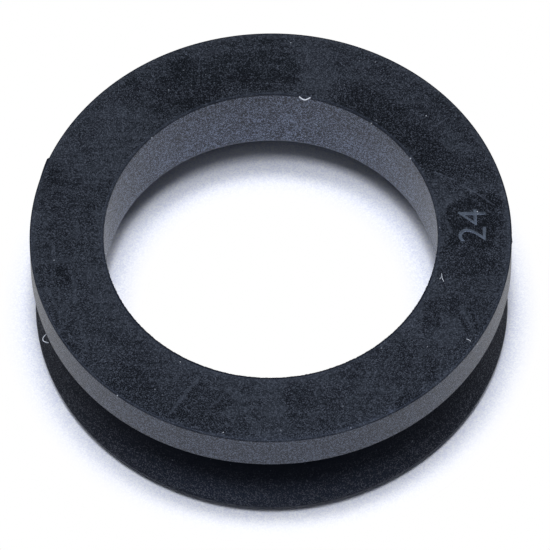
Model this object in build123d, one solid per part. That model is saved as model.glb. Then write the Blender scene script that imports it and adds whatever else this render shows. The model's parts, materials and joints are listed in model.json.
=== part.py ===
from build123d import *
import math
import os

# V-ring shaft seal, moulded in one piece from solid black rubber.
# It is modelled relaxed, lying on its lip, as it comes to rest on a bench.
# The ring's axis is +Z. The origin is on that axis, in the plane that the lip's tip touches,
# and the flat back face is at the top. Every size is in millimetres.

# Overall sizes of the relaxed ring, as a size table for such seals gives them
bore_diameter = 18.0  # grips the shaft when the ring is stretched over it
section_height = 4.0  # radial height of the body, from the bore to the outer rim
overall_width = 7.5  # back face to lip tip, along the axis
bore_width = 4.7  # back face to where the bore ends at the lip's front

# Body, whose back face is trimmed flat with a knife, so that its two edges are crisp
rim_width = 2.37  # the plain outer cylinder, from the back face to the V groove

# V groove between the body and the lip, which opens outwards
hinge_height = 1.2  # radial height of the rubber under the deepest point of the groove
hinge_thickness = 0.9  # rubber between the groove and the lip's front, square to the lip
groove_root_radius = 0.32

# Lip, a flared cone that leaves the body at the hinge
lip_inset = 0.13  # how far the lip's rim stays inside the body's rim, per side
lip_edge_height = 0.46  # the end face of the lip, along the axis
lip_edge_lean = 40.0  # degrees that the end face leans inwards, so that the lip ends square
lip_land = 0.14  # radial width of the narrow flat at the tip, on which the ring rests
lip_tip_radius = 0.06  # the edge between the end face and that flat
lip_shoulder_radius = 0.06  # the edge between the lip's back and its end face
bore_mouth_radius = 0.35  # rounds the bore into the lip's front

# Places that follow from the sizes
bore_radius = bore_diameter / 2
rim_radius = bore_radius + section_height
lip_radius = rim_radius - lip_inset
tip_radius = lip_radius - lip_edge_height * math.tan(math.radians(lip_edge_lean))
front_radius = tip_radius - lip_land
bore_end = overall_width - bore_width
rim_end = overall_width - rim_width


def groove_root():
    """The corner of the V groove: above the lip's front cone by the hinge thickness."""
    reach = front_radius - bore_radius
    slope = math.atan2(bore_end, reach)
    front_height = bore_end * (1 - hinge_height / reach)
    return bore_radius + hinge_height, front_height + hinge_thickness / math.cos(slope)


def seal_section():
    """Half of the ring's section, as radius and height, with its corners rounded."""
    bore_back = (bore_radius, overall_width)
    rim_back = (rim_radius, overall_width)
    rim_front = (rim_radius, rim_end)
    root = groove_root()
    lip_shoulder = (lip_radius, lip_edge_height)
    lip_tip = (tip_radius, 0)
    lip_front = (front_radius, 0)
    bore_mouth = (bore_radius, bore_end)

    corners = [bore_back, rim_back, rim_front, root, lip_shoulder, lip_tip, lip_front, bore_mouth]
    section = make_face(Polyline(*corners, close=True))
    roundings = {
        root: groove_root_radius,
        lip_shoulder: lip_shoulder_radius,
        lip_tip: lip_tip_radius,
        bore_mouth: bore_mouth_radius,
    }
    for corner, radius in roundings.items():
        vertex = section.vertices().sort_by_distance(Vector(*corner))[0]
        section = fillet(vertex, radius)
    return section


def v_ring():
    """The whole seal: its section turned once round the axis."""
    return revolve(Plane.XZ * seal_section(), Axis.Z)


os.makedirs("parts", exist_ok=True)
ring = v_ring()
ring.label = "v_ring"
export_step(ring, "parts/v_ring.step")
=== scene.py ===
import json
import math
import random

import bmesh
import bpy
from mathutils import Matrix, Quaternion, Vector, noise


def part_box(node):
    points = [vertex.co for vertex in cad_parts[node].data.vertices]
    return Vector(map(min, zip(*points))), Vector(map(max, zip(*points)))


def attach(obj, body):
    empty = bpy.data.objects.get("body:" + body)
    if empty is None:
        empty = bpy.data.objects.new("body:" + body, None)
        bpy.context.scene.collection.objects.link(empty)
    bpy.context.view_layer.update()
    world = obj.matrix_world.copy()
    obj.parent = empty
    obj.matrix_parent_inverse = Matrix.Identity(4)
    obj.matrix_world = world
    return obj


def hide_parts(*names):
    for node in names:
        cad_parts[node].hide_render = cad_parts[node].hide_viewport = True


# A V-ring shaft seal of black rubber, lying on its lip on a white studio table.
# Lengths are in metres, and MM turns millimetres into them.

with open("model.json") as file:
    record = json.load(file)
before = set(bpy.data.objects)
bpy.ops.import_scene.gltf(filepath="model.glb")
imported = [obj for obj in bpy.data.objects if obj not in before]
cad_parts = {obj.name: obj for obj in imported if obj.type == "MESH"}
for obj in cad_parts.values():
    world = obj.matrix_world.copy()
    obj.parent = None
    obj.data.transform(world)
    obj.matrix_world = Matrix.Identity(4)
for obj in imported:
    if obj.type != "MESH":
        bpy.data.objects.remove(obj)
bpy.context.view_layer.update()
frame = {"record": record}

MM = 0.001

# The seal's own sizes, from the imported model
seal_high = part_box("v_ring")[1]
mounts = {mount["name"]: mount for mount in frame["record"]["mounts"]}
RIM_RADIUS = seal_high.x
BACK_HEIGHT = seal_high.z
BORE_RADIUS = mounts["bore"]["dims"]["r_mm"] * MM

# The section between them, from what such seals have
BORE_WIDTH = 4.7 * MM
RIM_WIDTH = 2.37 * MM
HINGE_HEIGHT = 1.2 * MM
HINGE_THICKNESS = 0.9 * MM
LIP_INSET = 0.13 * MM
LIP_EDGE_HEIGHT = 0.6 * MM
LIP_EDGE_LEAN = math.radians(34)
LIP_LAND = 0.14 * MM

# The photograph's camera: the back face's centre in a frame of 550 x 550 pixels
PHOTO_SIZE = 550
BACK_CENTRE_PIXEL = (270.6, 235.0)
CAMERA_ELEVATION = math.radians(57.8)
CAMERA_DISTANCE = 637 * MM
CAMERA_ROLL = math.radians(0.74)
FOCAL_PIXELS = 11823
SENSOR_WIDTH = 36

# Where the seal's surfaces meet, in millimetres, as its material reads them
BACK_MM = BACK_HEIGHT / MM
RIM_MM = RIM_RADIUS / MM
BORE_MM = BORE_RADIUS / MM
GROOVE_MM = (BACK_HEIGHT - RIM_WIDTH) / MM

random.seed(7)


def linear(hex_colour):
    """An sRGB hex colour as linear red, green and blue, with an alpha of 1."""
    parts = [int(hex_colour[i : i + 2], 16) / 255 for i in (1, 3, 5)]
    values = [p / 12.92 if p <= 0.04045 else ((p + 0.055) / 1.055) ** 2.4 for p in parts]
    return (*values, 1.0)


def add_node(tree, kind, inputs=None, **settings):
    """Adds a node. inputs maps a socket's name or number to a value, or to the socket that feeds it."""
    node = tree.nodes.new(kind)
    for name, value in settings.items():
        setattr(node, name, value)
    for name, value in (inputs or {}).items():
        if isinstance(value, bpy.types.NodeSocket):
            tree.links.new(value, node.inputs[name])
        else:
            node.inputs[name].default_value = value
    return node


def new_material(name):
    """An empty material with its output node."""
    material = bpy.data.materials.new(name)
    material.use_nodes = True
    material.node_tree.nodes.clear()
    output = add_node(material.node_tree, "ShaderNodeOutputMaterial")
    return material, material.node_tree, output


def finish_piece(bm, name, material, smooth=True):
    """Turns a bmesh into an object that stands at the origin, with its place in its mesh."""
    mesh = bpy.data.meshes.new(name)
    bm.to_mesh(mesh)
    bm.free()
    mesh.materials.append(material)
    for polygon in mesh.polygons:
        polygon.use_smooth = smooth
    piece = bpy.data.objects.new(name, mesh)
    bpy.context.scene.collection.objects.link(piece)
    return piece


# The seal's form


def section_corners():
    """The corners of the half section, as radius and height, each with its rounding."""
    lip_radius = RIM_RADIUS - LIP_INSET
    tip_radius = lip_radius - LIP_EDGE_HEIGHT * math.tan(LIP_EDGE_LEAN)
    front_radius = tip_radius - LIP_LAND
    bore_end = BACK_HEIGHT - BORE_WIDTH
    reach = front_radius - BORE_RADIUS
    slope = math.atan2(bore_end, reach)
    root_height = bore_end * (1 - HINGE_HEIGHT / reach) + HINGE_THICKNESS / math.cos(slope)
    return {
        "bore_back": (BORE_RADIUS, BACK_HEIGHT, 0.03 * MM),
        "rim_back": (RIM_RADIUS, BACK_HEIGHT, 0.03 * MM),
        "rim_front": (RIM_RADIUS, BACK_HEIGHT - RIM_WIDTH, 0.04 * MM),
        "groove_root": (BORE_RADIUS + HINGE_HEIGHT, root_height, 0.2 * MM),
        "lip_shoulder": (lip_radius, LIP_EDGE_HEIGHT, 0.08 * MM),
        "lip_tip": (tip_radius, 0.0, 0.06 * MM),
        "lip_front": (front_radius, 0.0, 0.02 * MM),
        "bore_mouth": (BORE_RADIUS, bore_end, 0.2 * MM),
    }


def add_rows(bm, edge, rows):
    """Splits a straight stretch of the section into rows that are narrow at both ends."""
    head = edge.verts[0]
    start, end = head.co.copy(), edge.verts[1].co.copy()
    for row in range(1, rows):
        share = (1 - math.cos(math.pi * row / rows)) / 2
        target = start.lerp(end, share)
        left = (edge.verts[0].co - edge.verts[1].co).length
        done = (target - head.co).length
        edge, head = bmesh.utils.edge_split(edge, head, done / left)
        edge = next(e for e in head.link_edges if is_ahead(e, head, end))


def is_ahead(edge, head, end):
    """Whether this edge leads from head towards end."""
    towards = edge.other_vert(head).co - head.co
    return towards.dot(end - head.co) > 0


def seal_ring(material):
    """The seal: its rounded section spun round the axis, then made as uneven as the real one."""
    corners = section_corners()
    bm = bmesh.new()
    bm.faces.new([bm.verts.new((radius, 0, height)) for radius, height, _ in corners.values()])
    segments = {"groove_root": 8, "bore_mouth": 6}
    plain_segments = 4
    for name, (radius, height, rounding) in corners.items():
        corner = min(bm.verts, key=lambda v: (v.co - Vector((radius, 0, height))).length)
        bmesh.ops.bevel(
            bm,
            geom=[corner],
            offset=rounding,
            offset_type="OFFSET",
            segments=segments.get(name, plain_segments),
            profile=0.5,
            affect="VERTICES",
            material=-1,
        )
    bmesh.ops.delete(bm, geom=bm.faces[:], context="FACES_ONLY")
    long_edge = 0.3 * MM
    row_length = 0.27 * MM
    fewest_rows = 3
    for edge in [e for e in bm.edges if e.calc_length() > long_edge]:
        add_rows(bm, edge, max(fewest_rows, round(edge.calc_length() / row_length)))

    # An eighth of a turn is spun, and doubled three times into the whole ring
    part_turn = math.pi / 4
    steps_in_an_eighth = 100
    bmesh.ops.spin(
        bm,
        geom=bm.verts[:] + bm.edges[:],
        cent=(0, 0, 0),
        axis=(0, 0, 1),
        dvec=(0, 0, 0),
        angle=part_turn,
        steps=steps_in_an_eighth,
        use_merge=False,
        use_duplicate=False,
    )
    while part_turn < 2 * math.pi:
        copy = bmesh.ops.duplicate(bm, geom=bm.verts[:] + bm.edges[:] + bm.faces[:])
        copied = [item for item in copy["geom"] if isinstance(item, bmesh.types.BMVert)]
        bmesh.ops.rotate(bm, verts=copied, cent=(0, 0, 0), matrix=Matrix.Rotation(part_turn, 3, "Z"))
        part_turn *= 2
    bmesh.ops.remove_doubles(bm, verts=bm.verts[:], dist=0.0005 * MM)
    bmesh.ops.recalc_face_normals(bm, faces=bm.faces[:])
    for vert in bm.verts:
        work_over(vert)
    return finish_piece(bm, "seal_ring", material)


def around(angle, turns, seed):
    """A noise value between about -1 and 1 that closes on itself round the ring."""
    return noise.noise(Vector((math.cos(angle) * turns, math.sin(angle) * turns, seed)))


def bump_on_arc(angle, start, steep, gentle):
    """A burr's height from 0 to 1: it rises over steep and dies away over gentle, all in degrees."""
    past = (math.degrees(angle) - start) % 360
    if past < steep:
        return past / steep
    if past < steep + gentle:
        return 1 - (past - steep) / gentle
    return 0.0


def near_to(radius, height, corner_radius, corner_height, reach):
    """How near a point of the section is to a corner: 1 at the corner, and next to 0 at twice the reach."""
    away = math.hypot(radius - corner_radius, height - corner_height)
    return math.exp(-((away / reach) ** 2))


def work_over(vert):
    """Moves one point of the spun ring as knife, mould and handling left it. Depths are in mm."""
    radius = math.hypot(vert.co.x, vert.co.y)
    angle = math.atan2(vert.co.y, vert.co.x)
    outward = Vector((math.cos(angle), math.sin(angle), 0))
    up = Vector((0, 0, 1))
    too_little = 0.01

    # The back face rolls off a little towards its outer edge
    roll_off, roll_off_width = 0.02, 0.22 * MM
    back_skin = 0.1 * MM
    if vert.co.z > BACK_HEIGHT - back_skin:
        vert.co.z -= roll_off * MM * math.exp(-(RIM_RADIUS - radius) / roll_off_width)

    # The knife left the outer edge of the back face uneven, most on the near right. A burr stands out
    # at the left, and a small step at the right
    near_edge = near_to(radius, vert.co.z, RIM_RADIUS, BACK_HEIGHT, 0.13 * MM)
    if near_edge > too_little:
        chip_depth = 0.05
        rough_side = 0.04 + max(0.0, math.cos(angle - math.radians(-57))) ** 30
        chips = max(0.0, around(angle, 30, 1) + around(angle, 90, 2) * 0.5 - 0.1)
        vert.co -= (outward + up) * near_edge * chips * rough_side * chip_depth * MM
        burr = bump_on_arc(angle, 156.6, 0.5, 6.0) * 0.09
        step = bump_on_arc(angle, -3.2, 0.3, 1.6) * 0.05
        vert.co += outward * near_edge * (burr + step) * MM

    # The bore's edge at the back is a little ragged
    near_bore = near_to(radius, vert.co.z, BORE_RADIUS, BACK_HEIGHT, 0.09 * MM)
    if near_bore > too_little:
        ragged_depth = 0.03
        vert.co += outward * near_bore * around(angle, 110, 3) * ragged_depth * MM

    # The rubber is never quite round: the lip is wavier than the body, and spreads a little in front
    lip_share = max(0.0, 1 - vert.co.z / (2.5 * MM)) * max(0.0, (radius - 10 * MM) / (3 * MM))
    spread = 0.2 * max(0.0, -math.sin(angle)) ** 8 * lip_share
    out_of_round = around(angle, 1.3, 5) * (0.02 + 0.03 * lip_share)
    vert.co += outward * (out_of_round + spread) * MM


def curve_piece(curve, name, material, place=None):
    """Turns a curve or a text into a closed mesh, and then puts it in its place."""
    holder = bpy.data.objects.new(name + "_outline", curve)
    bpy.context.scene.collection.objects.link(holder)
    mesh = bpy.data.meshes.new_from_object(holder.evaluated_get(bpy.context.evaluated_depsgraph_get()))
    bpy.data.objects.remove(holder)
    bm = bmesh.new()
    bm.from_mesh(mesh)
    bpy.data.meshes.remove(mesh)
    bmesh.ops.remove_doubles(bm, verts=bm.verts[:], dist=0.001 * MM)
    bmesh.ops.recalc_face_normals(bm, faces=bm.faces[:])
    if place:
        bmesh.ops.transform(bm, matrix=place, verts=bm.verts[:])
    return finish_piece(bm, name, material)


def moulded_digits(material):
    """Two plain digits that stand some 0.05 mm proud of the back face, with their feet to the rim."""
    text = bpy.data.curves.new("digits", "FONT")
    text.body = "24"
    text.size = 2.2 * MM
    text.align_x = "CENTER"
    text.align_y = "CENTER"
    text.extrude = 0.04 * MM
    text.bevel_depth = 0.025 * MM
    text.bevel_resolution = 2
    text.offset = -0.03 * MM
    text.resolution_u = 6
    middle = Vector((10.97 * MM, 0.41 * MM, BACK_HEIGHT - 0.02 * MM))
    place = Matrix.Translation(middle) @ Matrix.Rotation(math.radians(90), 4, "Z")
    return curve_piece(text, "moulded_digits", material, place)


def fibres(name, paths, thickness, material):
    """Loose fibres, each bent through a few points given in mm."""
    curve = bpy.data.curves.new(name, "CURVE")
    curve.dimensions = "3D"
    curve.bevel_depth = thickness / 2
    curve.bevel_resolution = 1
    curve.resolution_u = 5
    curve.use_fill_caps = True
    for path in paths:
        spline = curve.splines.new("NURBS")
        spline.points.add(len(path) - 1)
        for point, (x, y, z) in zip(spline.points, path):
            point.co = (x * MM, y * MM, z * MM, 1)
        spline.order_u = 3
        spline.use_endpoint_u = True
    return curve_piece(curve, name, material)


# Lint on the back face and under the rim, and a flake on the bore's edge, as points in mm. Then grains
# of dust, each with its place and its radius
LINT = [
    [(9.17, -2.6, 7.52), (9.16, -2.86, 7.53), (9.27, -3.12, 7.52)],
    [(9.16, -2.84, 7.53), (9.06, -2.95, 7.52)],
    [(10.42, -6.78, 7.53), (10.52, -6.8, 7.55), (10.64, -6.92, 7.53)],
]
RIM_LINT = [[(-12.15, -4.55, 5.0), (-12.35, -4.72, 4.97), (-12.33, -4.98, 4.92), (-12.03, -5.06, 4.95)]]
FLAKE = [[(1.66, 8.84, 7.49), (1.82, 8.66, 7.51), (1.95, 8.6, 7.52), (2.1, 8.66, 7.51), (2.26, 8.78, 7.49)]]
DUST = [
    (11.17, 1.28, 7.56, 0.04),
    (8.52, 7.49, 7.51, 0.035),
    (-4.92, -7.96, 7.51, 0.03),
    (5.87, -7.26, 7.51, 0.025),
    (11.0, -7.1, 7.51, 0.03),
    (7.62, 4.77, 7.5, 0.045),
    (5.55, 7.06, 7.5, 0.035),
    (-6.36, 6.32, 7.5, 0.04),
    (-2.67, -12.4, 7.5, 0.035),
    (-8.3, -10.0, 7.48, 0.04),
    (1.98, 8.76, 3.64, 0.035),
    (-2.47, 8.63, 5.31, 0.03),
    (-7.66, 4.7, 5.62, 0.03),
]


def dust(material):
    """Single grains of dust, each a small rough ball."""
    bm = bmesh.new()
    for x, y, z, size in DUST:
        turn = Matrix.Rotation(random.uniform(0, math.pi), 4, "X")
        place = Matrix.Translation((x * MM, y * MM, z * MM)) @ turn
        bmesh.ops.create_icosphere(bm, subdivisions=1, radius=size * MM, matrix=place)
    return finish_piece(bm, "dust", material)


# Finishes

# Marks on the back face, listed one by one: where they lie in mm, length, width, and the turn in degrees.
# Then come how much bloom they add, or how much was wiped off, and how soft the border is.
PATCHES = [
    (0.0, 10.65, 3.3, 2.4, 0, -0.30, 0.15),
    (-3.5, 9.9, 4.6, 2.6, 20, -0.27, 0.3),
    (-0.3, 10.3, 2.8, 0.5, 0, -0.18, 0.4),
    (-5.0, 10.4, 0.8, 1.1, 0, -0.16, 0.3),
    (-5.95, 8.6, 0.9, 1.7, 0, -0.22, 0.3),
    (-4.4, 8.4, 2.2, 0.9, 28, -0.20, 0.3),
    (-7.35, 9.35, 2.0, 1.3, 38, -0.18, 0.4),
    (-9.2, 5.9, 5.2, 3.4, 55, 0.12, 0.1),
    (2.6, 10.5, 2.0, 3.4, -5, 0.13, 0.15),
    (5.5, 7.9, 3.6, 2.6, -35, -0.25, 0.12),
    (8.05, 5.3, 4.2, 2.6, -57, -0.25, 0.2),
    (8.3, 5.4, 3.0, 1.6, -55, -0.14, 0.4),
    (6.45, 10.35, 0.8, 0.5, 0, -0.18, 0.3),
    (10.3, 5.6, 1.9, 1.3, -60, 0.10, 0.3),
    (11.65, 4.2, 2.3, 1.0, -70, -0.14, 0.3),
    (10.95, 0.75, 2.6, 3.4, -8, -0.42, 0.1),
    (10.6, -1.9, 2.8, 2.2, 0, -0.24, 0.45),
    (9.15, 2.4, 1.2, 2.4, 15, 0.10, 0.3),
    (8.55, -5.3, 0.95, 1.8, 0, -0.24, 0.2),
    (9.65, -4.5, 1.4, 1.2, -30, -0.16, 0.3),
    (9.5, -6.4, 1.6, 1.8, -35, 0.20, 0.12),
    (7.2, -8.2, 0.85, 1.6, 0, -0.24, 0.2),
    (8.5, -8.5, 0.75, 1.7, 5, -0.24, 0.2),
    (4.55, -8.55, 1.3, 0.65, 0, -0.18, 0.3),
    (1.45, -10.4, 1.7, 1.9, 0, -0.18, 0.12),
    (7.2, -10.5, 1.6, 0.7, 35, -0.4, 0.1),
    (-11.1, -2.4, 0.9, 0.9, -45, -0.24, 0.3),
    (-10.9, -2.3, 1.6, 1.3, 0, -0.12, 0.3),
    (-10.7, -7.2, 3.2, 0.7, -47, -0.18, 0.3),
    (-7.6, -9.8, 4.8, 2.4, -38, -0.14, 0.3),
    (-3.9, -11.0, 2.3, 3.2, -20, -0.20, 0.1),
    (-2.55, -12.1, 2.6, 1.3, -12, -0.16, 0.2),
    (-0.95, -11.0, 2.9, 2.6, 0, 0.12, 0.12),
    (-8.75, -4.3, 3.8, 1.1, -62, 0.12, 0.3),
    (-11.6, 4.0, 1.2, 0.9, 20, -0.20, 0.3),
    (-9.85, 1.55, 1.1, 1.6, 0, -0.16, 0.25),
    (-9.7, 0.2, 0.8, 1.1, 0, -0.14, 0.3),
    (-11.3, 1.3, 1.2, 1.6, 0, -0.12, 0.3),
]

# Scratches and wiped lines on the back face, listed one by one: middle in mm, length, half the width, turn
# in degrees, how far they bow, and how much they lighten or darken
LINES = [
    (9.45, 3.6, 1.7, 0.04, -27, 0.03, 0.45),
    (11.35, 2.3, 2.3, 0.045, -38, 0.04, 0.8),
    (11.1, 1.8, 2.9, 0.04, -36, 0.25, 0.4),
    (9.62, 1.0, 2.6, 0.07, -84, -0.3, 0.34),
    (-4.75, -10.1, 3.2, 0.10, 54, 0.02, 0.42),
    (-2.85, -10.3, 2.1, 0.07, 47, 0.02, 0.26),
    (-10.6, -3.3, 1.9, 0.09, -86, 0.05, 0.28),
    (-10.1, -6.3, 2.6, 0.08, -76, 0.08, 0.22),
    (-11.7, -4.1, 2.4, 0.07, -70, 0.06, 0.22),
    (-10.4, -2.6, 1.2, 0.09, -70, 0.05, -0.26),
    (-9.4, -9.1, 2.2, 0.10, -48, 0.0, 0.16),
    (8.0, -5.7, 2.0, 0.10, -88, 0.05, 0.22),
    (10.2, -5.7, 2.1, 0.09, -66, 0.06, -0.34),
    (10.8, -5.5, 1.7, 0.06, -70, 0.06, -0.4),
    (10.5, -5.6, 2.0, 0.06, -68, 0.06, 0.3),
    (9.9, -3.8, 1.1, 0.04, -8, 0.08, 0.34),
    (-0.5, 9.75, 2.9, 0.04, -3, 0.04, 0.3),
    (-2.6, 10.9, 3.4, 0.06, 10, 0.1, 0.14),
    (-4.6, 9.6, 2.8, 0.06, 38, 0.05, 0.2),
    (5.1, -8.6, 1.1, 0.035, -62, -0.16, 0.3),
    (6.3, -8.0, 1.6, 0.07, 58, 0.05, 0.2),
    (12.3, -0.9, 1.3, 0.05, -40, 0.04, 0.24),
    (-11.9, 0.7, 1.1, 0.05, -45, 0.04, 0.24),
]


def bloom_patches(tree, flat, wander):
    """The sum of the patches. Each is a rounded box, and its border wanders by some 0.4 mm."""
    wandered = add_node(tree, "ShaderNodeVectorMath", {0: flat, 1: wander}, operation="ADD").outputs[0]
    total = 0.0
    for x, y, length, width, turn, amount, softness in PATCHES:
        inside = add_node(
            tree,
            "ShaderNodeMapping",
            {
                0: wandered,
                "Location": (x, y, 0),
                "Rotation": (0, 0, math.radians(turn)),
                "Scale": (length / 2, width / 2, 1),
            },
            vector_type="TEXTURE",
        ).outputs[0]
        both = {0: inside, 1: inside}
        boxy = add_node(tree, "ShaderNodeVectorMath", both, operation="MULTIPLY").outputs[0]
        away = add_node(tree, "ShaderNodeVectorMath", {0: boxy}, operation="LENGTH").outputs["Value"]
        share = add_node(
            tree,
            "ShaderNodeMapRange",
            {0: away, 1: 1 + 2 * softness, 2: 1 - 2 * softness, 3: 0.0, 4: amount},
            interpolation_type="SMOOTHSTEP",
        ).outputs[0]
        total = add_node(tree, "ShaderNodeMath", {0: share, 1: total}, operation="ADD").outputs[0]
    return total


def handling_lines(tree, flat, wander):
    """The sum of the scratches and wiped lines. Each is a bowed strip that fades at both ends."""
    nudged = add_node(tree, "ShaderNodeVectorMath", {0: wander, "Scale": 0.06}, operation="SCALE").outputs[0]
    nudged = add_node(tree, "ShaderNodeVectorMath", {0: flat, 1: nudged}, operation="ADD").outputs[0]
    total = 0.0
    for x, y, length, half_width, turn, bow, amount in LINES:
        along = add_node(
            tree,
            "ShaderNodeMapping",
            {
                0: nudged,
                "Location": (x, y, 0),
                "Rotation": (0, 0, math.radians(turn)),
                "Scale": (length / 2, half_width, 1),
            },
            vector_type="TEXTURE",
        ).outputs[0]
        parts = add_node(tree, "ShaderNodeSeparateXYZ", {0: along})
        end = add_node(tree, "ShaderNodeMath", {0: parts.outputs[0], 1: 2.0}, operation="POWER").outputs[0]
        rise = bow / half_width
        side = add_node(
            tree, "ShaderNodeMath", {0: end, 1: rise, 2: parts.outputs[1]}, operation="MULTIPLY_ADD"
        ).outputs[0]
        side = add_node(tree, "ShaderNodeMath", {0: side, 1: -0.5 * rise}, operation="ADD").outputs[0]
        side = add_node(tree, "ShaderNodeMath", {0: side}, operation="ABSOLUTE").outputs[0]
        side = add_node(tree, "ShaderNodeMapRange", {0: side, 1: 1.4, 2: 0.4, 3: 0.0, 4: amount}).outputs[0]
        ends = add_node(tree, "ShaderNodeMapRange", {0: end, 1: 1.0, 2: 0.5}).outputs[0]
        total = add_node(
            tree, "ShaderNodeMath", {0: side, 1: ends, 2: total}, operation="MULTIPLY_ADD"
        ).outputs[0]
    return total


def mould_rings(tree, flat, radius, height):
    """Faint lines from the mould that run round the walls and the lip, some 0.2 mm apart, with finer
    ones between them."""
    heading = add_node(tree, "ShaderNodeVectorMath", {0: flat}, operation="NORMALIZE").outputs[0]
    stretched = {0: heading, "Scale": 2.5}
    heading = add_node(tree, "ShaderNodeVectorMath", stretched, operation="SCALE").outputs[0]
    heading = add_node(tree, "ShaderNodeSeparateXYZ", {0: heading})
    across = add_node(tree, "ShaderNodeMath", {0: radius, 1: height}, operation="SUBTRACT").outputs[0]
    across = add_node(tree, "ShaderNodeMath", {0: across, 1: 3.0}, operation="MULTIPLY").outputs[0]
    ringwise = add_node(
        tree, "ShaderNodeCombineXYZ", {0: heading.outputs[0], 1: heading.outputs[1], 2: across}
    ).outputs[0]
    return add_node(tree, "ShaderNodeTexNoise", {"Vector": ringwise, "Scale": 1.6, "Detail": 3.0}).outputs[0]


def talc_specks(tree, mm, per_mm, chance, size):
    """Specks of talc, per_mm places for one in each millimetre. chance is the share of places that has
    one, and size is the largest speck's radius in mm."""
    cells = add_node(tree, "ShaderNodeTexVoronoi", {"Vector": mm, "Scale": per_mm, "Randomness": 1.0})
    chosen = add_node(tree, "ShaderNodeSeparateXYZ", {0: cells.outputs["Color"]})
    reach = add_node(
        tree, "ShaderNodeMapRange", {0: chosen.outputs[0], 1: 1 - chance, 2: 1.0, 3: 0.0, 4: size * per_mm}
    ).outputs[0]
    speck = add_node(
        tree, "ShaderNodeMath", {0: cells.outputs["Distance"], 1: reach}, operation="LESS_THAN"
    ).outputs[0]
    paler = add_node(tree, "ShaderNodeMapRange", {0: chosen.outputs[1], 3: 0.1, 4: 0.75}).outputs[0]
    return add_node(tree, "ShaderNodeMath", {0: speck, 1: paler}, operation="MULTIPLY").outputs[0]


def weighted_sum(tree, start, parts, clamp=False):
    """Adds parts, each times its weight, to a starting value. The end is kept between 0 and 1 by clamp."""
    total = start
    for part, weight in parts:
        node = add_node(tree, "ShaderNodeMath", {0: part, 1: weight, 2: total}, operation="MULTIPLY_ADD")
        total = node.outputs[0]
    node.use_clamp = clamp
    return total


def seal_places(tree):
    """Where a point of the seal lies: its place, radius and height in mm, and shares from 0 to 1 that
    tell whether it is on the back face, near the camera or far from it, and outside or below the rim."""
    place = add_node(tree, "ShaderNodeTexCoord").outputs["Object"]
    scale = {0: place, "Scale": 1 / MM}
    mm = add_node(tree, "ShaderNodeVectorMath", scale, operation="SCALE").outputs[0]
    axes = add_node(tree, "ShaderNodeSeparateXYZ", {0: mm}).outputs
    flat = add_node(tree, "ShaderNodeCombineXYZ", {0: axes[0], 1: axes[1]}).outputs[0]
    radius = add_node(tree, "ShaderNodeVectorMath", {0: flat}, operation="LENGTH").outputs["Value"]
    places = {"mm": mm, "flat": flat, "radius": radius, "height": axes[2]}
    shares = {
        "on_back": {0: axes[2], 1: BACK_MM - 0.10, 2: BACK_MM - 0.07},
        "near": {0: axes[1], 1: 0.0, 2: -4.0},
        "far": {0: axes[1], 1: -4.0, 2: 0.0},
        "below": {0: axes[2], 1: GROOVE_MM, 2: GROOVE_MM - 0.1},
    }
    for name, limits in shares.items():
        places[name] = add_node(tree, "ShaderNodeMapRange", limits).outputs[0]
    past_bore = {0: radius, 1: BORE_MM + 0.3}
    places["outside"] = add_node(tree, "ShaderNodeMath", past_bore, operation="GREATER_THAN").outputs[0]
    return places


def rubber_grain(tree, mm):
    """The rubber's grain, the same all over, mostly dull with single paler points, and its pits. The
    real grain is finer. It is drawn at 0.045 mm, nearly as coarse as a pixel of the photograph."""
    cells = add_node(tree, "ShaderNodeTexVoronoi", {"Vector": mm, "Scale": 22.0}).outputs
    grain = add_node(tree, "ShaderNodeSeparateXYZ", {0: cells["Color"]}).outputs[0]
    grain = add_node(tree, "ShaderNodeMath", {0: grain, 1: 3.0}, operation="POWER").outputs[0]
    cubed_mean = 0.25
    grain = add_node(tree, "ShaderNodeMath", {0: grain, 1: -cubed_mean}, operation="ADD").outputs[0]
    return grain, cells["Distance"]


def bloom_blotches(tree, mm):
    """Bloom comes in clouds some 2 mm across with ragged borders, over blotches of 0.5 mm."""
    clouds = add_node(
        tree,
        "ShaderNodeTexNoise",
        {"Vector": mm, "Scale": 0.42, "Detail": 3.0, "Roughness": 0.6, "Distortion": 0.5},
    ).outputs[0]
    blotches = add_node(
        tree, "ShaderNodeTexNoise", {"Vector": mm, "Scale": 1.9, "Detail": 3.0, "Roughness": 0.6}
    ).outputs[0]
    return clouds, blotches


def wiping_streaks(tree, mm):
    """Wiping left fine streaks of some 2 mm by 0.2 mm, that run askew over the back face."""
    turned = add_node(
        tree, "ShaderNodeMapping", {0: mm, "Rotation": (0, 0, math.radians(52)), "Scale": (0.5, 5.5, 1)}
    ).outputs[0]
    return add_node(
        tree, "ShaderNodeTexNoise", {"Vector": turned, "Scale": 1.0, "Detail": 2.0, "Distortion": 0.3}
    ).outputs[0]


def border_wander(tree, flat):
    """How far the borders of the patches wander, in mm."""
    wander = add_node(tree, "ShaderNodeTexNoise", {"Vector": flat, "Scale": 1.1, "Detail": 3.0}).outputs[1]
    middle = {0: wander, 1: (0.5, 0.5, 0.5)}
    wander = add_node(tree, "ShaderNodeVectorMath", middle, operation="SUBTRACT").outputs[0]
    reach = {0: wander, 1: (2.1, 2.1, 0)}
    return add_node(tree, "ShaderNodeVectorMath", reach, operation="MULTIPLY").outputs[0]


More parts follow.
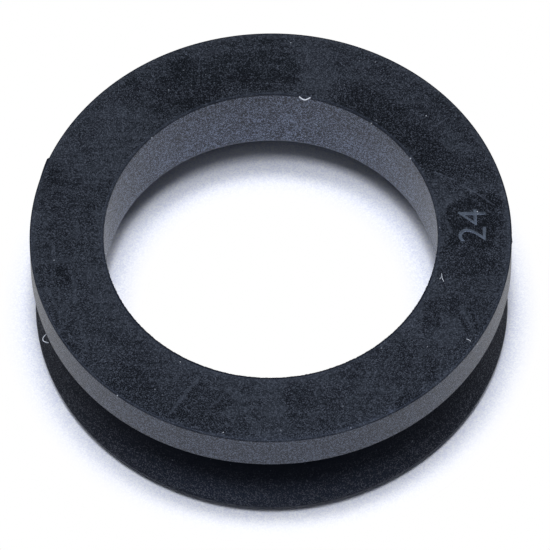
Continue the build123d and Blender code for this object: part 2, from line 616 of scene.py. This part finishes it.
def bloom_film(tree, places, grain, clouds, blotches):
    """The film of bloom on the back face: clouds, grain and streaks, with what handling wiped off."""
    flat, radius = places["flat"], places["radius"]
    streaks = wiping_streaks(tree, places["mm"])
    wander = border_wander(tree, flat)
    patches = bloom_patches(tree, flat, wander)
    lines = handling_lines(tree, flat, wander)

    # The back face is paler in a strip next to the bore on the near side, and next to the rim on the far
    # side
    from_bore = {0: radius, 1: BORE_MM + 0.7, 2: BORE_MM + 0.1, 4: 0.22}
    from_rim = {0: radius, 1: RIM_MM - 0.45, 2: RIM_MM - 0.12, 4: 0.3}
    parts = (
        (clouds, 0.7),
        (blotches, 0.4),
        (grain, 1.4),
        (streaks, 0.55),
        (patches, 0.95),
        (lines, 1.15),
        (add_node(tree, "ShaderNodeMapRange", from_bore).outputs[0], places["near"]),
        (add_node(tree, "ShaderNodeMapRange", from_rim).outputs[0], places["far"]),
    )
    bloom = {0: weighted_sum(tree, -0.18, parts), 1: 0.7}
    return add_node(tree, "ShaderNodeMath", bloom, operation="MULTIPLY", use_clamp=True).outputs[0]


def wall_shade(tree, places, grain, rings):
    """How pale the walls are: the bore with its mould lines and grain, and the rim less than half, which is
    painted shade on the same rubber.
    """
    outside = places["outside"]
    parts = ((rings, 1.7), (grain, 4.2), (outside, -0.1))
    wall = weighted_sum(tree, -0.75, parts, clamp=True)
    # Painted shade: the rim wall, the same rubber as the bore wall, is painted at 0.42 of its paleness
    rim_painted_darker = add_node(tree, "ShaderNodeMapRange", {0: outside, 3: 1.0, 4: 0.42}).outputs[0]
    return add_node(tree, "ShaderNodeMath", {0: wall, 1: rim_painted_darker}, operation="MULTIPLY").outputs[0]


def lip_shade(tree, places, grain, rings):
    """How pale the lip is. The groove and the lip are out of reach of hands. The lip is painted black up in
    the groove and paler towards its edge, which is painted shade, and the paleness is more in some mould
    lines than in others."""
    # Painted shade: the lip is painted black from 2 mm up into the groove, and paler down to its edge at 0.6
    # mm
    painted_groove_shade = add_node(tree, "ShaderNodeMapRange", {0: places["height"], 1: 2.0, 2: 0.6}).outputs[0]
    ringed = {0: rings, 1: 0.44, 2: 0.62, 3: -0.35, 4: 0.3}
    ringed = add_node(tree, "ShaderNodeMapRange", ringed).outputs[0]
    grained = {0: grain, 1: 3.4, 2: ringed}
    grained = add_node(tree, "ShaderNodeMath", grained, operation="MULTIPLY_ADD").outputs[0]
    shade = {0: painted_groove_shade, 1: grained}
    return add_node(tree, "ShaderNodeMath", shade, operation="MULTIPLY", use_clamp=True).outputs[0]


def cut_edges(tree, places):
    """The matt line that the cut leaves at both edges of the back face, and a painted dark line, which is
    painted shade, on the part of it that borders the table in the camera's view: at the bore on the near
    side, and at the rim on the far side."""
    radius = places["radius"]
    at_bore = {0: radius, 1: BORE_MM + 0.15, 2: BORE_MM + 0.09}
    at_bore = add_node(tree, "ShaderNodeMapRange", at_bore).outputs[0]
    at_rim = {0: radius, 1: RIM_MM - 0.11, 2: RIM_MM - 0.05}
    at_rim = add_node(tree, "ShaderNodeMapRange", at_rim).outputs[0]
    # Painted shade: the dark line takes only the near side of the bore edge and the far side of the rim edge
    near_bore = {0: at_bore, 1: places["near"]}
    near_bore = add_node(tree, "ShaderNodeMath", near_bore, operation="MULTIPLY").outputs[0]
    far_rim = {0: at_rim, 1: places["far"]}
    far_rim = add_node(tree, "ShaderNodeMath", far_rim, operation="MULTIPLY").outputs[0]
    lines = []
    for bore_line, rim_line in ((at_bore, at_rim), (near_bore, far_rim)):
        either = {0: bore_line, 1: rim_line}
        either = add_node(tree, "ShaderNodeMath", either, operation="MAXIMUM").outputs[0]
        on_face = {0: either, 1: places["on_back"]}
        lines.append(add_node(tree, "ShaderNodeMath", on_face, operation="MULTIPLY").outputs[0])
    return lines


def digit_highlight_painted(tree, height, grain, blotches):
    """How pale the raised digits are painted: a painted highlight on their tops, which is uneven."""
    proud = {0: height, 1: BACK_MM + 0.01, 2: BACK_MM + 0.03}
    proud = add_node(tree, "ShaderNodeMapRange", proud).outputs[0]
    digit_highlight = {0: blotches, 1: 0.35, 2: 0.6, 3: 0.55, 4: 1.0}
    digit_highlight = add_node(tree, "ShaderNodeMapRange", digit_highlight).outputs[0]
    grained = {0: grain, 1: 0.6, 2: digit_highlight}
    grained = add_node(tree, "ShaderNodeMath", grained, operation="MULTIPLY_ADD").outputs[0]
    share = {0: proud, 1: grained}
    return add_node(tree, "ShaderNodeMath", share, operation="MULTIPLY", use_clamp=True).outputs[0]


def black_rubber():
    """Nitrile rubber, moulded and trimmed: a soft satin black. The cut back face has a cloudy film of
    bloom, wiped in patches, with fine scratches from handling. The walls are smoother and pick up the
    white table, with a fine grain and pale specks of talc. The groove stays black."""
    material, tree, output = new_material("black_nitrile_rubber")
    places = seal_places(tree)
    mm, on_back = places["mm"], places["on_back"]
    grain, pits = rubber_grain(tree, mm)
    clouds, blotches = bloom_blotches(tree, mm)
    rings = mould_rings(tree, places["flat"], places["radius"], places["height"])
    bloom = bloom_film(tree, places, grain, clouds, blotches)
    film = add_node(tree, "ShaderNodeMath", {0: bloom, 1: 1.7}, operation="POWER").outputs[0]

    # Each surface from its darkest to its palest
    surfaces = {
        "walls": (wall_shade(tree, places, grain, rings), "#06070b", "#8792a9"),
        "lip": (lip_shade(tree, places, grain, rings), "#050608", "#42444a"),
        "back": (film, "#0c0e10", "#373b42"),
    }
    shades = {}
    for name, (share, dark, pale) in surfaces.items():
        ends = {"Factor": share, 6: linear(dark), 7: linear(pale)}
        shades[name] = add_node(tree, "ShaderNodeMix", ends, data_type="RGBA").outputs[2]

    # The talc is single pale specks some 2 mm apart, and a fine dusting some 0.5 mm apart. Real talc is
    # finer, and the dusting is drawn as coarse as a pixel of the photograph
    single = talc_specks(tree, mm, 2.4, 0.3, 0.045)
    dusting = talc_specks(tree, mm, 6.5, 0.45, 0.03)
    matt_line, painted_dark_edge = cut_edges(tree, places)
    digit_highlight = digit_highlight_painted(tree, places["height"], grain, blotches)
    on_lip = {0: places["below"], 1: places["outside"]}
    on_lip = add_node(tree, "ShaderNodeMath", on_lip, operation="MULTIPLY").outputs[0]
    layers = (
        (on_lip, shades["lip"]),
        (on_back, shades["back"]),
        # Painted shade: a dark line along the near bore edge and the far rim edge of the back face
        (painted_dark_edge, linear("#050607")),
        # Painted highlight: the tops of the raised digits are painted paler
        (digit_highlight, linear("#48505c")),
        (dusting, linear("#565d6b")),
        (single, linear("#8a909c")),
    )
    colour = shades["walls"]
    for share, shade in layers:
        layer = {"Factor": share, 6: colour, 7: shade}
        colour = add_node(tree, "ShaderNodeMix", layer, data_type="RGBA").outputs[2]

    # Bloom makes the satin back duller, and where the knife ran out it is matt
    rough = add_node(tree, "ShaderNodeMapRange", {0: bloom, 3: 0.22, 4: 0.42}).outputs[0]
    off_back = {0: on_back, 2: 0.38, 3: rough}
    rough = add_node(tree, "ShaderNodeMix", off_back, data_type="FLOAT").outputs[0]
    at_cut = {0: matt_line, 2: rough, 3: 0.8}
    rough = add_node(tree, "ShaderNodeMix", at_cut, data_type="FLOAT").outputs[0]

    # The pits are shallow on the cut face, and deeper on the moulded walls
    depth = add_node(tree, "ShaderNodeMapRange", {0: on_back, 3: 4.0, 4: 0.5}).outputs[0]
    relief = add_node(tree, "ShaderNodeMath", {0: pits, 1: depth}, operation="MULTIPLY").outputs[0]
    bump = {"Strength": 0.5, "Distance": 0.01 * MM, "Height": relief}
    shader = add_node(
        tree,
        "ShaderNodeBsdfPrincipled",
        {
            "Base Color": colour,
            "Roughness": rough,
            "IOR": 1.52,
            "Specular IOR Level": 0.39,
            "Specular Tint": linear("#afc2f0"),
            "Normal": add_node(tree, "ShaderNodeBump", bump).outputs[0],
        },
    )
    tree.links.new(shader.outputs[0], output.inputs[0])
    return material


def pale_fibre():
    """Cotton lint and house dust, dry and matt: a dull white that shows on black."""
    material, tree, output = new_material("pale_cotton_lint")
    shader = add_node(
        tree, "ShaderNodeBsdfPrincipled", {"Base Color": linear("#b4bac6"), "Roughness": 0.9, "IOR": 1.45}
    )
    tree.links.new(shader.outputs[0], output.inputs[0])
    return material


def table_white():
    """A sheet of matt white paper with a fine tooth. Beside the seal it keeps the soft shadow, and
    further off it goes over into the plain white of the background."""
    material, tree, output = new_material("white_table_sheet")
    place = add_node(tree, "ShaderNodeTexCoord").outputs["Object"]
    away = add_node(tree, "ShaderNodeVectorMath", {0: place}, operation="LENGTH").outputs["Value"]

    # The shadow ends some 2 mm outside the seal's rim, and as far inside its bore
    outer = {0: away, 1: 12.9 * MM, 2: 14.8 * MM}
    outer = add_node(tree, "ShaderNodeMapRange", outer, interpolation_type="SMOOTHSTEP").outputs[0]
    inner = {0: away, 1: 8.9 * MM, 2: 7.0 * MM}
    inner = add_node(tree, "ShaderNodeMapRange", inner, interpolation_type="SMOOTHSTEP").outputs[0]
    plain = add_node(tree, "ShaderNodeMath", {0: outer, 1: inner}, operation="MAXIMUM").outputs[0]
    path = add_node(tree, "ShaderNodeLightPath").outputs
    seen = path["Is Camera Ray"]
    for kind in ("Is Glossy Ray", "Is Transmission Ray"):
        seen = add_node(tree, "ShaderNodeMath", {0: seen, 1: path[kind]}, operation="MAXIMUM").outputs[0]
    share = add_node(tree, "ShaderNodeMath", {0: plain, 1: seen}, operation="MULTIPLY").outputs[0]

    # The tooth of real paper is finer, and is drawn as coarse as a pixel of the photograph
    tooth = add_node(tree, "ShaderNodeTexVoronoi", {"Vector": place, "Scale": 15 / MM}).outputs["Color"]
    tooth = add_node(tree, "ShaderNodeSeparateXYZ", {0: tooth}).outputs[0]
    whites = {"Factor": tooth, 6: linear("#d9dff4"), 7: linear("#f2f6ff")}
    paper = add_node(tree, "ShaderNodeMix", whites, data_type="RGBA").outputs[2]
    sheet = add_node(
        tree,
        "ShaderNodeBsdfPrincipled",
        {"Base Color": paper, "Roughness": 0.9, "Specular IOR Level": 0.0},
    )
    white = add_node(tree, "ShaderNodeEmission", {"Color": (1, 1, 1, 1), "Strength": 1.0})
    mixed = add_node(tree, "ShaderNodeMixShader", {0: share, 1: sheet.outputs[0], 2: white.outputs[0]})
    tree.links.new(mixed.outputs[0], output.inputs[0])
    return material


# The stage


def table():
    """The table that the seal lies on."""
    table_radius = 4.0
    table_sides = 96
    bm = bmesh.new()
    bmesh.ops.create_circle(bm, cap_ends=True, segments=table_sides, radius=table_radius)
    top = finish_piece(bm, "table", table_white(), smooth=False)


def softbox(name, left, right, front, back, share):
    """A level softbox 1 m up. Its sides are given by how far they lean from upright, as tangents, and
    share is the part of a plain exposure that it gives a level white surface."""
    height = 1.0
    lamp = bpy.data.lights.new(name, "AREA")
    lamp.shape = "RECTANGLE"
    lamp.size = (right - left) * height
    lamp.size_y = (back - front) * height
    middle = Vector(((left + right) / 2, (front + back) / 2, 1.0))
    lamp.energy = share * (math.pi * height) ** 2 * middle.length**4
    holder = bpy.data.objects.new(name, lamp)
    holder.location = middle * height
    bpy.context.scene.collection.objects.link(holder)


def studio_light():
    """Softboxes above, left, right and in front, round the camera, and a faint low one. The room is dim
    and cool."""
    softbox("above", -0.10, 0.10, 0.02, 0.13, 0.38)
    softbox("left", -0.42, -0.15, -0.24, 0.24, 0.34)
    softbox("right", 0.26, 0.42, -0.08, 0.37, 0.24)
    softbox("front", -0.06, 0.06, -0.36, -0.13, 0.34)
    softbox("low", -0.3, 0.3, -0.8, -0.4, 0.05)
    world = bpy.context.scene.world or bpy.data.worlds.new("room")
    bpy.context.scene.world = world
    world.use_nodes = True
    world.node_tree.nodes.clear()
    cool = {"Color": (0.8, 0.9, 1.15, 1), "Strength": 0.03}
    room = add_node(world.node_tree, "ShaderNodeBackground", cool)
    result = add_node(world.node_tree, "ShaderNodeOutputWorld")
    world.node_tree.links.new(room.outputs[0], result.inputs[0])


def photo_camera():
    """The camera stands where the photograph was taken from and frames the seal as it does."""
    data = bpy.data.cameras.new("photo_camera")
    data.sensor_width = SENSOR_WIDTH
    data.lens = FOCAL_PIXELS / PHOTO_SIZE * SENSOR_WIDTH
    data.clip_start = 0.05
    data.clip_end = 20
    camera = bpy.data.objects.new("photo_camera", data)
    bpy.context.scene.collection.objects.link(camera)
    back_centre = Vector((0, 0, BACK_HEIGHT))
    towards = Vector((0, -math.cos(CAMERA_ELEVATION), math.sin(CAMERA_ELEVATION)))
    camera.location = back_centre + towards * CAMERA_DISTANCE
    turn = (-towards).to_track_quat("-Z", "Y") @ Quaternion((0, 0, 1), -CAMERA_ROLL)
    metres_per_pixel = CAMERA_DISTANCE / FOCAL_PIXELS
    aside = (PHOTO_SIZE / 2 - BACK_CENTRE_PIXEL[0]) * metres_per_pixel
    below = (PHOTO_SIZE / 2 - BACK_CENTRE_PIXEL[1]) * metres_per_pixel
    aim = back_centre + turn @ Vector((aside, -below, 0))
    view = (aim - camera.location).normalized()
    camera.rotation_mode = "QUATERNION"
    camera.rotation_quaternion = view.to_track_quat("-Z", "Y") @ Quaternion((0, 0, 1), -CAMERA_ROLL)
    bpy.context.scene.camera = camera


photo_camera()
studio_light()
table()

rubber = black_rubber()
ring = seal_ring(rubber)
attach(ring, "root")
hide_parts("v_ring")

digits = moulded_digits(rubber)
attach(digits, "root")

lint_white = pale_fibre()
loose = [
    fibres("lint", LINT, 0.035 * MM, lint_white),
    fibres("rim_lint", RIM_LINT, 0.05 * MM, lint_white),
    fibres("flake", FLAKE, 0.09 * MM, lint_white),
    dust(lint_white),
]
for piece in loose:
    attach(piece, "root")

bpy.context.scene.view_settings.view_transform = "Standard"
